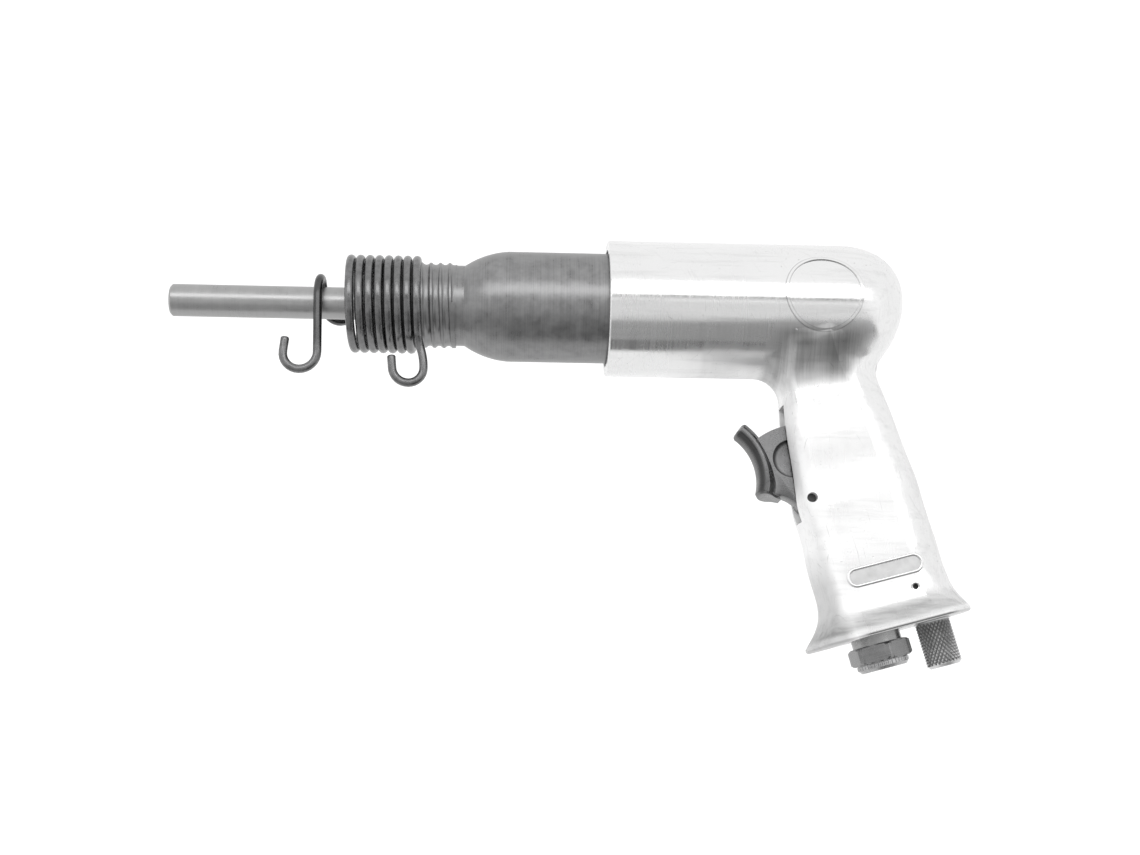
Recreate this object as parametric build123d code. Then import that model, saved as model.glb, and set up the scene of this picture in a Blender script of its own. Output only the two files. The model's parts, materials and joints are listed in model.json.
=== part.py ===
from build123d import *
import os
from math import cos, dist, radians, sin, sqrt

# Layout: the origin is the middle of the grip, the barrel points along -X
grip_rake = 15.0
bore_height = 60.0
grip_setback = 80.0

# Clearances
slip_fit = 0.05
seat_gap = 0.3
face_gap = 0.2

# Barrel, measured along its axis from the front face of the sleeve
barrel_radius = 17.45
nose_reach = 70.0
thread_length = 22.4
neck_length = 2.7
neck_radius = 12.75
shoulder_length = 13.7
shoulder_rise = 2.0
piston_bore_radius = 9.6
shank_guide_length = 32.0
port_radius = 2.5
port_place = 14.0
port_count = 4
nose_chamfer = 0.8

# Rivet set
shank_radius = 5.1
shank_length = 37.0
set_gap = 1.0
set_collar_radius = 9.4
set_collar_length = 6.5
set_body_length = 59.9
set_chamfer = 0.7
set_cup_radius = 3.2
set_cup_depth = 1.2

# Retainer spring and the barrel thread that it screws on
wire_radius = 1.25
wire_groove_gap = 0.1
thread_root_radius = 12.85
thread_crest = 0.65
coil_pitch = 2.96
coil_first_turn = -0.22
coil_turns = 7.4
coil_overhang = 11.0
loop_reach = 9.5
loop_radius = 7.9
loop_exit_angle = 18.0
front_hook_radius = 5.25
front_leg_set = 0.6
front_hook_drop = 18.1
front_hook_tip = 4.1
rear_hook_radius = 4.85
rear_hook_drop = 22.35
rear_hook_tip = 3.6
rear_hook_offset = 2.85
rear_leg_shift = 2.45
hook_lean = 0.1

# Piston
piston_length = 28.0
piston_rest_gap = 2.0
piston_chamfer = 1.0

# Distributor valve behind the barrel
valve_step = 2.05
valve_seat_length = 8.0
valve_case_length = 16.0
valve_gasket_length = 1.0
valve_gasket_bore = 9.0
disc_wall = 4.4
disc_length = 3.0
disc_travel = 1.5
disc_port_radius = 4.0
dowel_radius = 1.25
dowel_wall = 2.1
dowel_length = 14.0
case_port_radius = 1.8
case_port_circle = 7.0
case_port_count = 6

# Housing: sleeve, dome and the seat that the barrel screws into
exhaust_gap = 1.15
sleeve_wall = 3.0
exhaust_depth = 34.0
barrel_seat_length = 18.0
sleeve_edge = 0.6
dome_start = 74.5
dome_lead = 0.5
dome_flattening = 1.2
dome_lift = 3.6
neck_blend = 8.5
pocket_radius = 8.0
pocket_depth = 3.0
pad_radius = 12.1
pad_place = 66.0
pad_lift = 0.6
pad_rim = 0.8
pad_height = 0.3
flat_start = 58.5
flat_length = 20.0
flat_depth = 0.8

# Grip, measured up its own leaning axis from the origin
grip_top = 54.0
shoulder_station = 46.0
waist_station = 40.0
neck_station = 30.0
flare_station = -27.0
rim_station = -40.6
base_station = -42.0
front_top = 12.0
front_neck = 17.2
front_middle = 21.3
front_base = 21.7
back_top = 13.0
back_neck = 16.0
back_base = 18.1
half_neck = 14.0
half_base = 14.5
waist_share = 0.06
shoulder_share = 0.6
top_inset = 2.8
flare_front = 6.9
flare_steps = 3
flare_power = 2.2
flare_back = 3.8
flare_side = 4.0
nose_bulge = 1.8
nose_inset = 1.5
nose_corner = 3.5
back_round = 12.5
base_edge = 0.9
plaque_length = 23.5
plaque_width = 5.8
plaque_height = 0.35
plaque_root = 0.5
plaque_rim = 0.7
plaque_back = -3.0
plaque_up = -24.3

# Trigger and its slot
pivot_back = -17.6
pivot_up = 2.5
trigger_pin_radius = 1.5
trigger_pin_length = 21.0
slot_width = 8.0
slot_floor = -9.5
slot_top = 34.0
slot_bottom = -3.0
web_thickness = 7.0
web_reach = 25.0
web_boss_radius = 3.0
web_arch = (-5.7, 2.9)
web_rear = 2.9
finger_width = 13.0
finger_corner = 1.2
finger_edge = 1.2
finger_front = (-39.5, 19.2)
finger_front_middle = (-34.1, 11.6)
finger_front_low = (-32.8, 0.7)
finger_back_low = (-27.2, -0.1)
finger_back_middle = (-30.5, 12.2)
finger_back = (-36.6, 21.6)
dish_radius = 6.0
dish_forward = 0.7
dish_depth = 0.6

# Throttle, across the grip at the height of the trigger's dish
throttle_up = 17.0
throttle_bore_radius = 6.0
throttle_bore_end = 13.6
bushing_length = 10.5
bushing_gallery_radius = 3.5
bushing_gallery_length = 6.0
bushing_seat_length = 1.0
bushing_port_radius = 1.5
stem_radius = 1.9
stem_tip_radius = 3.0
seal_wire_radius = 0.8
bushing_seal_place = 2.5
ball_radius = 4.0
ball_seat_radius = 3.0
spring_wire_radius = 0.35
spring_coil_radius = 2.8
spring_turns = 4

# Air inlet in the base
inlet_back = -8.2
inlet_thread_radius = 6.6
inlet_thread_length = 12.0
inlet_bore_radius = 5.7
inlet_bore_depth = 13.5
inlet_throat_radius = 4.5
inlet_chamber_radius = 5.5
inlet_chamber_top = -20.0
washer_radius = 7.6
washer_length = 2.6
hex_flats = 17.0
hex_length = 5.3
hex_turn = -24.5
hex_chamfer = 1.2
end_ring_radius = 7.9
end_ring_length = 1.4
end_ring_chamfer = 1.0
screen_length = 0.6
screen_radius = 5.2
screen_hole_radius = 0.45
screen_hole_pitch = 1.5
screen_hole_rows = 7

# Air regulator in the base, beside the inlet
regulator_back = 10.2
regulator_spool_radius = 5.6
regulator_knob_radius = 5.4
regulator_knob_length = 13.8
regulator_chamfer = 0.9
regulator_bore_top = -15.0
regulator_top_gap = 1.0
regulator_groove_up = -31.3
regulator_groove_width = 2.2
regulator_groove_depth = 0.6
regulator_pin_radius = 0.85
regulator_pin_length = 26.0
regulator_seal_up = -37.0
regulator_seal_wire = 0.65
regulator_moon_length = 10.0
airway_radius = 3.0
airway_up = -24.0
delivery_radius = 3.5

# Sizes that follow from the ones above
sleeve_bore_radius = barrel_radius + exhaust_gap
sleeve_radius = sleeve_bore_radius + sleeve_wall
dome_depth = sleeve_radius - dome_flattening
valve_radius = barrel_radius - valve_step
disc_radius = valve_radius - disc_wall
dowel_circle = valve_radius - dowel_wall
thread_crest_radius = thread_root_radius + thread_crest
coil_radius = thread_root_radius + wire_groove_gap + wire_radius
coil_front = -nose_reach - coil_overhang
thread_end = -nose_reach + thread_length
shoulder_start = thread_end + neck_length
barrel_rear = exhaust_depth + barrel_seat_length
valve_split = barrel_rear + valve_seat_length
valve_rear = valve_split + valve_case_length
chamber_end = valve_rear + valve_gasket_length
shank_end = -nose_reach + shank_guide_length
bushing_rear = slot_floor + bushing_length
ball_back = bushing_rear + sqrt(ball_radius**2 - ball_seat_radius**2) + seat_gap
stem_ring = stem_radius + slip_fit + seal_wire_radius
bore_ring = throttle_bore_radius - seal_wire_radius
seal_back = slot_floor + bushing_seal_place
regulator_ring = regulator_spool_radius - regulator_seal_wire
stem_lever = throttle_up - pivot_up
stem_front = pivot_back + web_rear + seat_gap

bore_frame = Pos(-grip_setback, 0, bore_height)
grip_frame = Rot(0, -grip_rake, 0)
pivot_frame = grip_frame * Pos(pivot_back, 0, pivot_up)


# Helpers
def turned(outline, axis=Axis.X):
    """Turn a closed outline of points in the XZ plane round an axis."""
    edges = Polyline(*outline, close=True).edges()
    return revolve(Plane.XZ * make_face(edges), axis, 360)


def rod(radius, start, end):
    """A round bar along X."""
    return Pos((start + end) / 2, 0, 0) * Rot(0, 90, 0) * Cylinder(radius, end - start)


def post(radius, low, high):
    """A round bar along Z."""
    return Pos(0, 0, (low + high) / 2) * Cylinder(radius, high - low)


def cross_bar(radius, length):
    """A round bar along Y, centred."""
    return Rot(90, 0, 0) * Cylinder(radius, length)


def drilled(start, end, radius):
    """A round way between two points."""
    way = Vector(*end) - Vector(*start)
    return Solid.make_cylinder(radius, way.length, Plane(origin=start, z_dir=way))


def ring_face(place, lift, radius):
    """A round face across X, lifted off the axis."""
    plane = Plane(origin=(place, 0, lift), x_dir=(0, 1, 0), z_dir=(1, 0, 0))
    return (plane * Circle(radius)).face()


def ring_seal(ring_radius, wire):
    """An O-ring round the X axis."""
    return Rot(0, 90, 0) * Torus(ring_radius, wire)


def bored(solid, count, circle, hole):
    """A ring of equal holes along X round the axis."""
    for step in range(count):
        solid = solid - Rot(360 * step / count, 0, 0) * Pos(0, 0, circle) * hole
    return solid


def groove(inner, outer, width):
    """A square groove round the X axis."""
    return rod(outer, -width / 2, width / 2) - rod(inner, -width, width)


# Wire paths
def arc_pair(start, start_way, end, end_way):
    """Two tangent arcs that leave start along one way and reach end along another."""
    span = end - start
    ways = start_way + end_way
    turn = 2 * (1 - start_way.dot(end_way))
    along = span.dot(ways)
    reach = span.dot(span) / (sqrt(along**2 + turn * span.dot(span)) + along)
    first = start + start_way * reach
    second = end - end_way * reach
    middle = (first + second) * 0.5
    into = Edge.make_tangent_arc(start, start_way, middle)
    out = Edge.make_tangent_arc(middle, (second - first).normalized(), end)
    return [into, out]


def coil_point(turn, front, radius, pitch):
    """A point of a coil along X, counted in turns from the top of its first curl."""
    angle = radians(360 * turn)
    return Vector(front + pitch * turn, -radius * sin(angle), radius * cos(angle))


def coil_way(turn, radius, pitch):
    """The direction of the wire at that point."""
    angle = radians(360 * turn)
    across = radians(360) * radius
    return Vector(pitch, -across * cos(angle), -across * sin(angle)).normalized()


def coil_edges(first, last, front, radius, pitch):
    """A coil as pairs of arcs, half a turn each."""
    edges = []
    here = first
    while here < last - 0.01:
        there = min(here + 0.5, last)
        edges += arc_pair(
            coil_point(here, front, radius, pitch),
            coil_way(here, radius, pitch),
            coil_point(there, front, radius, pitch),
            coil_way(there, radius, pitch),
        )
        here = there
    return edges


def wire_along(edges, radius):
    """A round wire swept along tangent edges."""
    path = Wire(edges)
    section = Plane(origin=path @ 0, z_dir=path % 0) * Circle(radius)
    return sweep(section, path=path)


def least_gap(edges, radius, step=0.5, apart=8.0):
    """The least distance between two stretches of a wire that lie apart along it."""
    points = []
    for edge in edges:
        count = max(2, round(edge.length / step))
        points += [tuple(edge.position_at(i / count)) for i in range(count)]
    skip = round(apart / step)
    nearest = min(
        dist(point, other)
        for place, point in enumerate(points)
        for other in points[place + skip:]
    )
    return nearest - 2 * radius


# Retainer spring
def retainer_edges():
    """The retainer's wire: front hook, loop round the set, coil, rear hook."""
    loop_x = coil_front - loop_reach
    near = -loop_radius
    front_x = loop_x + front_leg_set - front_hook_radius
    front_low = Vector(front_x - front_hook_radius, near, -front_hook_drop)
    front_tip = front_low + Vector(hook_lean * front_hook_tip, 0, front_hook_tip)
    front_leg = Vector(front_x + front_hook_radius, near, -front_hook_drop)
    loop_near = Vector(loop_x, near, 0)
    loop_top = Vector(loop_x, 0, loop_radius)
    exit_angle = radians(loop_exit_angle)
    loop_exit = Vector(loop_x, loop_radius * cos(exit_angle), loop_radius * sin(exit_angle))
    exit_way = Vector(0, sin(exit_angle), -cos(exit_angle))
    leg_way = (loop_near - front_leg).normalized()
    over = Vector(0, 1, 0)
    up = Vector(0, 0, 1)
    start_way = coil_way(coil_first_turn, coil_radius, coil_pitch)
    end_way = coil_way(coil_turns, coil_radius, coil_pitch)
    coil_start = coil_point(coil_first_turn, coil_front, coil_radius, coil_pitch)
    coil_end = coil_point(coil_turns, coil_front, coil_radius, coil_pitch)
    rear_x = coil_end.X - rear_hook_offset
    rear_y = coil_end.Y + rear_leg_shift
    rear_leg = Vector(rear_x + rear_hook_radius, rear_y, -rear_hook_drop)
    rear_low = Vector(rear_x - rear_hook_radius, rear_y, -rear_hook_drop)
    rear_tip = rear_low + Vector(-hook_lean * rear_hook_tip, 0, rear_hook_tip)
    down = (front_low - front_tip).normalized()
    tip_way = (rear_tip - rear_low).normalized()

    edges = [Edge.make_line(front_tip, front_low)]
    edges += arc_pair(front_low, down, front_leg, leg_way)
    edges.append(Edge.make_line(front_leg, loop_near))
    edges += arc_pair(loop_near, leg_way, loop_top, over)
    edges += arc_pair(loop_top, over, loop_exit, exit_way)
    edges += arc_pair(loop_exit, exit_way, coil_start, start_way)
    edges += coil_edges(coil_first_turn, coil_turns, coil_front, coil_radius, coil_pitch)
    edges += arc_pair(coil_end, end_way, rear_leg, -up)
    edges += arc_pair(rear_leg, -up, rear_low, tip_way)
    edges.append(Edge.make_line(rear_low, rear_tip))
    return edges


def retainer_spring():
    edges = retainer_edges()
    print("least gap in the retainer's wire: %.2f mm" % least_gap(edges, wire_radius))
    return bore_frame * wire_along(edges, wire_radius)


# Barrel and what runs in it
def barrel_blank():
    """The barrel's outside: threaded nose, neck, shoulder and body."""
    nose = -nose_reach
    body_start = shoulder_start + shoulder_length
    middle = (
        shoulder_start + shoulder_length / 2,
        (neck_radius + barrel_radius) / 2 + shoulder_rise / 2,
    )
    outline = [
        Line((nose, 0), (nose, thread_crest_radius - nose_chamfer)),
        Line((nose, thread_crest_radius - nose_chamfer), (nose + nose_chamfer, thread_crest_radius)),
        Line((nose + nose_chamfer, thread_crest_radius), (thread_end, thread_crest_radius)),
        Line((thread_end, thread_crest_radius), (thread_end, neck_radius)),
        Line((thread_end, neck_radius), (shoulder_start, neck_radius)),
        ThreePointArc((shoulder_start, neck_radius), middle, (body_start, barrel_radius)),
        Line((body_start, barrel_radius), (barrel_rear, barrel_radius)),
        Line((barrel_rear, barrel_radius), (barrel_rear, 0)),
        Line((barrel_rear, 0), (nose, 0)),
    ]
    return revolve(Plane.XZ * make_face(outline), Axis.X, 360)


def barrel():
    nose = -nose_reach
    solid = barrel_blank()
    solid -= rod(shank_radius + slip_fit, nose - 1, shank_end + 1)
    solid -= rod(piston_bore_radius, shank_end, barrel_rear + 1)
    for step in range(port_count):
        turn = Rot(360 * step / port_count, 0, 0)
        solid -= turn * Pos(port_place, 0, 0) * post(port_radius, 0, sleeve_radius)
    first = coil_overhang / coil_pitch - 1
    last = first + thread_length / coil_pitch + 1
    groove = coil_edges(first, last, coil_front, coil_radius, coil_pitch)
    solid -= wire_along(groove, wire_radius + wire_groove_gap)
    return bore_frame * solid


def rivet_set():
    collar_rear = -nose_reach - set_gap
    collar_front = collar_rear - set_collar_length
    tip = collar_front - set_body_length
    end = collar_rear + shank_length
    edge = shank_radius - set_chamfer
    rim = set_collar_radius - set_chamfer
    solid = turned(
        [
            (tip, 0),
            (tip, edge),
            (tip + set_chamfer, shank_radius),
            (collar_front, shank_radius),
            (collar_front, rim),
            (collar_front + set_chamfer, set_collar_radius),
            (collar_rear - set_chamfer, set_collar_radius),
            (collar_rear, rim),
            (collar_rear, shank_radius),
            (end - set_chamfer, shank_radius),
            (end, edge),
            (end, 0),
        ]
    )
    cup_radius = (set_cup_radius**2 + set_cup_depth**2) / (2 * set_cup_depth)
    solid -= Pos(tip + set_cup_depth - cup_radius, 0, 0) * Rot(0, 90, 0) * Sphere(cup_radius)
    return bore_frame * solid


def piston():
    rear = barrel_rear - piston_rest_gap
    front = rear - piston_length
    radius = piston_bore_radius - slip_fit
    edge = radius - piston_chamfer
    outline = [
        (front, 0),
        (front, edge),
        (front + piston_chamfer, radius),
        (rear - piston_chamfer, radius),
        (rear, edge),
        (rear, 0),
    ]
    return bore_frame * turned(outline)


# Distributor valve
def disc_space_length():
    return disc_length + disc_travel + 2 * seat_gap


def dowel_holes(solid):
    hole = rod(dowel_radius + slip_fit, -dowel_length / 2, dowel_length / 2)
    for side in (1, -1):
        solid -= Pos(valve_split, side * dowel_circle, 0) * hole
    return solid


def valve_seat():
    solid = rod(valve_radius, barrel_rear, valve_split)
    solid -= rod(disc_port_radius, barrel_rear - 1, valve_split + 1)
    return bore_frame * dowel_holes(solid)


def valve_case():
    solid = rod(valve_radius, valve_split, valve_rear)
    solid -= rod(disc_radius + seat_gap, valve_split - 1, valve_split + disc_space_length())
    port = rod(case_port_radius, valve_split, valve_rear + 1)
    solid = bored(solid, case_port_count, case_port_circle, port)
    return bore_frame * dowel_holes(solid)


def valve_disc():
    start = valve_split + seat_gap
    return bore_frame * rod(disc_radius, start, start + disc_length)


def valve_dowels():
    pins = []
    for side in (1, -1):
        pin = rod(dowel_radius, -dowel_length / 2, dowel_length / 2)
        pins.append(bore_frame * Pos(valve_split, side * dowel_circle, 0) * pin)
    return Compound(children=pins)


def valve_gasket():
    solid = rod(valve_radius, valve_rear, chamber_end)
    return bore_frame * (solid - rod(valve_gasket_bore, valve_rear - 1, chamber_end + 1))


# Housing
def grip_outline(up, front, back, half):
    """The grip's section: shallow nose, soft corners, flat sides, round back."""
    side = half - nose_inset
    corner_x = -front + nose_bulge
    round_x = back - back_round
    with BuildSketch(Plane.XY.offset(up)) as section:
        with BuildLine():
            ThreePointArc((corner_x, side), (-front, 0), (corner_x, -side))
            Line((corner_x, -side), (round_x, -half))
            EllipticalCenterArc((round_x, 0), back_round, half, start_angle=-90, arc_size=180)
            Line((round_x, half), (corner_x, side))
        make_face()
        fillet(section.vertices().sort_by(Axis.X)[:2], nose_corner)
    return section.sketch


def grip_stations():
    """Sections from the top down: height, reach to the front and the back, half width."""
    swell = sleeve_radius - top_inset - half_neck
    stations = []
    for up, wider in ((grip_top, 1), (shoulder_station, shoulder_share), (waist_station, waist_share)):
        share = (grip_top - up) / (grip_top - neck_station)
        front = front_top + share * (front_neck - front_top)
        back = back_top + share * (back_neck - back_top)
        stations.append((up, front, back, half_neck + wider * swell))
    neck = (neck_station, front_neck, back_neck, half_neck)
    middle = (0, front_middle, back_base, half_base)
    foot = (flare_station, front_base, back_base, half_base)
    stations.append(neck)
    for upper, lower in ((neck, middle), (middle, foot)):
        stations.append([(high + low) / 2 for high, low in zip(upper, lower)])
        stations.append(lower)
    return stations


def grip_form():
    """The raked grip with its flared base, up into the housing."""
    sections = [grip_outline(*station) for station in grip_stations()]
    for step in range(1, flare_steps + 1):
        share = step / flare_steps
        rise = share**flare_power
        sections.append(
            grip_outline(
                flare_station + share * (rim_station - flare_station),
                front_base + rise * flare_front,
                back_base + rise * flare_back,
                half_base + rise * flare_side,
            )
        )
    faces = [section.face() for section in sections]
    form = loft(faces)
    form += extrude(faces[-1], amount=rim_station - base_station, dir=(0, 0, -1))
    base = form.faces().sort_by(Axis.Z)[0]
    return grip_frame * fillet(base.edges(), base_edge)


def barrel_form():
    """The sleeve and its domed rear."""
    loft_start = dome_start - dome_lead
    sleeve = rod(sleeve_radius, 0, loft_start)
    front_edge = sleeve.edges().filter_by(GeomType.CIRCLE).sort_by(Axis.X)[0]
    sleeve = fillet([front_edge], sleeve_edge)
    rings = [ring_face(loft_start, 0, sleeve_radius)]
    for angle in (0, 22, 42, 58, 70, 80, 86):
        reach = sin(radians(angle))
        radius = sleeve_radius * cos(radians(angle))
        rings.append(ring_face(dome_start + dome_depth * reach, dome_lift * reach**2, radius))
    return bore_frame * (sleeve + loft(rings))


def label_pad(side):
    """A raised rim on the side of the sleeve."""
    rim = cross_bar(pad_radius, sleeve_radius)
    rim -= cross_bar(pad_radius - pad_rim, sleeve_radius + 1)
    rim = Pos(pad_place, side * sleeve_radius, pad_lift) * rim
    return bore_frame * (rim & rod(sleeve_radius + pad_height, 0, chamber_end + pad_radius))


def plaque():
    """A bare plaque with a raised rim on the flat side of the grip."""
    outer = SlotOverall(plaque_length, plaque_width)
    inner = SlotOverall(plaque_length - 2 * plaque_rim, plaque_width - 2 * plaque_rim)
    side_end = back_base - back_round
    slope = nose_inset / (side_end + front_base - nose_bulge)
    side = half_base - slope * (side_end - plaque_back)
    face = Plane(origin=(plaque_back, -side, plaque_up), x_dir=(1, -slope, 0), z_dir=(-slope, -1, 0))
    rim = extrude(face.offset(-plaque_root) * outer, amount=plaque_root + plaque_height)
    rim -= extrude(face.offset(-2 * plaque_root) * inner, amount=3 * plaque_root + plaque_height)
    return grip_frame * rim


def neck_rounded(seam):
    """The neck's blend; a size at which it does not close takes a slightly smaller radius."""
    for share in (1, 0.97, 0.94, 0.9, 0.85, 0.8, 0.7):
        try:
            body = fillet(seam, share * neck_blend)
        except ValueError:
            continue
        if body.is_valid:
            return body
    raise ValueError("the neck does not close at any radius near neck_blend")


def housing_outside():
    form = barrel_form()
    grip = grip_form()
    body = form + grip
    seam = [
        edge
        for edge in body.edges()
        if form.distance_to(edge.position_at(0.3)) < 0.01
        and grip.distance_to(edge.position_at(0.3)) < 0.01
    ]
    body = neck_rounded(seam)
    flat = Pos(flat_start + flat_length / 2, 0, sleeve_radius - flat_depth + sleeve_wall)
    body -= bore_frame * flat * Box(flat_length, 2 * sleeve_radius, 2 * sleeve_wall)
    for side in (1, -1):
        body += label_pad(side)
    return body + plaque()


def barrel_spaces():
    """The exhaust space, the barrel's seat, the valve chamber and the air pocket."""
    space = rod(sleeve_bore_radius, -1, exhaust_depth)
    space += rod(barrel_radius + slip_fit, 0, barrel_rear)
    space += rod(valve_radius + slip_fit, 0, chamber_end)
    space += rod(pocket_radius, 0, chamber_end + pocket_depth)
    return bore_frame * space


def grip_spaces():
    """The trigger slot, the throttle bore, the inlet, the regulator and their airways."""
    slot_length = front_base + flare_front + slot_floor
    slot = Pos(slot_floor - slot_length / 2, 0, (slot_top + slot_bottom) / 2)
    space = slot * Box(slot_length, slot_width, slot_top - slot_bottom)
    space += Pos(0, 0, throttle_up) * rod(throttle_bore_radius, slot_floor - 1, throttle_bore_end)
    thread_top = base_station + inlet_thread_length
    inlet = post(inlet_thread_radius + slip_fit, base_station - 1, thread_top)
    inlet += post(inlet_chamber_radius, base_station, inlet_chamber_top)
    space += Pos(inlet_back, 0, 0) * inlet
    regulator = post(regulator_spool_radius + slip_fit, base_station - 1, regulator_bore_top)
    regulator += post(airway_radius, base_station, throttle_up)
    space += Pos(regulator_back, 0, 0) * regulator
    space += Pos(0, 0, airway_up) * rod(airway_radius, inlet_back, regulator_back)
    space += Pos(pivot_back, 0, pivot_up) * cross_bar(trigger_pin_radius + slip_fit, 4 * half_base)
    space += regulator_pin_place() * cross_bar(regulator_pin_radius + slip_fit, 4 * half_base)
    return grip_frame * space


def handle_housing():
    body = housing_outside() - barrel_spaces() - grip_spaces()
    gallery = grip_frame * Pos(bushing_rear - bushing_gallery_length / 2, 0, throttle_up)
    pocket = bore_frame * Pos(chamber_end + pocket_depth / 2, 0, 0)
    return body - drilled(gallery.position, pocket.position, delivery_radius)


# Trigger
def in_pivot(point):
    """A point of the XZ plane, seen from the trigger's pivot with the grip upright."""
    x, z = point
    return (pivot_frame.inverse() * Pos(x, 0, z)).position


def trigger():
    points = {}
    for name, point in (
        ("front", finger_front),
        ("front_middle", finger_front_middle),
        ("front_low", finger_front_low),
        ("back_low", finger_back_low),
        ("back_middle", finger_back_middle),
        ("back", finger_back),
    ):
        place = in_pivot(point)
        points[name] = (place.X, place.Z)
    bar = make_face(
        [
            ThreePointArc(points["front"], points["front_middle"], points["front_low"]),
            Line(points["front_low"], points["back_low"]),
            ThreePointArc(points["back_low"], points["back_middle"], points["back"]),
            Line(points["back"], points["front"]),
        ]
    )
    bar = fillet(bar.vertices(), finger_corner)
    bar = extrude(Plane.XZ * bar, amount=finger_width / 2, both=True)
    sides = bar.faces().sort_by(Axis.Y)
    bar = fillet(sides[0].edges() + sides[-1].edges(), finger_edge)
    low = points["back_low"]
    high = points["back_middle"]
    heel = (-web_boss_radius, 0)
    web = make_face(
        [
            ThreePointArc(low, web_arch, heel),
            Polyline(
                heel,
                (web_rear, 0),
                (web_rear, web_reach + 1),
                points["back"],
                (high[0] - finger_corner, high[1]),
                (low[0] - finger_corner, low[1]),
                low,
            ),
        ]
    )
    web = extrude(Plane.XZ * web, amount=web_thickness / 2, both=True)
    web &= cross_bar(web_reach, 2 * web_thickness)
    web += cross_bar(web_boss_radius, web_thickness)
    solid = web + bar
    for side in (1, -1):
        dish = Pos(-dish_forward, side * web_thickness / 2, stem_lever)
        solid -= dish * cross_bar(dish_radius, 2 * dish_depth)
    solid -= cross_bar(trigger_pin_radius + slip_fit, 2 * finger_width)
    return pivot_frame * solid


def trigger_pin():
    return pivot_frame * cross_bar(trigger_pin_radius, trigger_pin_length)


# Throttle
def at_throttle(solid):
    return grip_frame * Pos(0, 0, throttle_up) * solid


def throttle_bushing():
    outer = throttle_bore_radius - slip_fit
    solid = rod(outer, slot_floor, bushing_rear)
    solid -= rod(stem_radius + slip_fit, slot_floor - 1, bushing_rear)
    gallery = bushing_rear - bushing_gallery_length
    solid -= rod(bushing_gallery_radius, gallery, bushing_rear - bushing_seat_length)
    solid -= rod(ball_seat_radius, gallery, bushing_rear + 1)
    for angle in (0, 90):
        port = Rot(angle, 0, 0) * post(bushing_port_radius, -2 * outer, 2 * outer)
        solid -= Pos(gallery + bushing_gallery_length / 2, 0, 0) * port
    width = 2 * (seal_wire_radius + slip_fit)
    solid -= Pos(seal_back, 0, 0) * groove(stem_radius, stem_ring + seal_wire_radius, width)
    solid -= Pos(seal_back, 0, 0) * groove(bore_ring - seal_wire_radius, throttle_bore_radius, width)
    return at_throttle(solid)


def throttle_stem_seal():
    return at_throttle(Pos(seal_back, 0, 0) * ring_seal(stem_ring, seal_wire_radius - slip_fit))


def throttle_bushing_seal():
    return at_throttle(Pos(seal_back, 0, 0) * ring_seal(bore_ring, seal_wire_radius - slip_fit))


def throttle_stem():
    """The push rod, with a domed tip where the trigger meets it."""
    solid = rod(stem_radius, stem_front, ball_back - ball_radius - face_gap)
    dome = Pos(stem_front + stem_tip_radius, 0, 0) * Rot(0, 90, 0) * Sphere(stem_tip_radius)
    dome += rod(stem_tip_radius, stem_front + stem_tip_radius, ball_back)
    return at_throttle(solid & dome)


def throttle_ball():
    return at_throttle(Pos(ball_back, 0, 0) * Sphere(ball_radius))


def throttle_spring():
    touch = sqrt(ball_radius**2 - (spring_coil_radius - spring_wire_radius) ** 2)
    first = ball_back + touch + spring_wire_radius + face_gap
    last = throttle_bore_end - spring_wire_radius - face_gap
    pitch = (last - first) / spring_turns
    edges = coil_edges(0, spring_turns, first, spring_coil_radius, pitch)
    return at_throttle(wire_along(edges, spring_wire_radius))


# Air inlet
def at_inlet(solid):
    return grip_frame * Pos(inlet_back, 0, 0) * solid


def inlet_levels():
    """The heights of the hexagon's top, its foot and the fitting's end."""
    hex_top = base_station - washer_length
    hex_foot = hex_top - hex_length
    end = hex_foot - end_ring_length - end_ring_chamfer
    return hex_top, hex_foot, end


def hexagon(top, foot):
    """A hexagon with its corners turned off."""
    flat = RegularPolygon(hex_flats / 2, 6, major_radius=False, rotation=hex_turn)
    block = Pos(0, 0, foot) * extrude(flat, amount=top - foot)
    corner = hex_flats / sqrt(3)
    return block & turned(
        [
            (0, foot),
            (corner - hex_chamfer, foot),
            (corner, foot + hex_chamfer / 2),
            (corner, top - hex_chamfer / 2),
            (corner - hex_chamfer, top),
            (0, top),
        ],
        Axis.Z,
    )


def inlet_bushing():
    hex_top, hex_foot, end = inlet_levels()
    thread_top = base_station + inlet_thread_length
    bore_top = end + inlet_bore_depth
    solid = hexagon(hex_top, hex_foot)
    solid += post(inlet_thread_radius, hex_top, thread_top)
    solid += turned(
        [
            (0, hex_foot),
            (end_ring_radius, hex_foot),
            (end_ring_radius, end + end_ring_chamfer),
            (end_ring_radius - end_ring_chamfer, end),
            (0, end),
        ],
        Axis.Z,
    )
    solid -= post(inlet_bore_radius, end - 1, bore_top)
    solid -= post(screen_radius + slip_fit, end, bore_top + screen_length)
    solid -= post(inlet_throat_radius, end, thread_top + 1)
    return at_inlet(solid)


def inlet_washer():
    solid = post(washer_radius, base_station - washer_length, base_station)
    return at_inlet(solid - post(inlet_thread_radius + slip_fit, base_station - 2 * washer_length, 0))


def inlet_screen():
    hex_top, hex_foot, end = inlet_levels()
    low = end + inlet_bore_depth
    solid = post(screen_radius, low, low + screen_length)
    reach = inlet_throat_radius - screen_hole_radius
    for place in GridLocations(screen_hole_pitch, screen_hole_pitch, screen_hole_rows, screen_hole_rows):
        if place.position.length < reach:
            solid -= place * post(screen_hole_radius, low - 1, low + 1)
    return at_inlet(solid)


# Air regulator
def regulator_pin_place():
    groove = regulator_spool_radius - regulator_groove_depth
    back = regulator_back - groove - slip_fit - regulator_pin_radius
    return Pos(back, 0, regulator_groove_up)


def at_regulator(solid):
    return grip_frame * Pos(regulator_back, 0, 0) * solid


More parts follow.
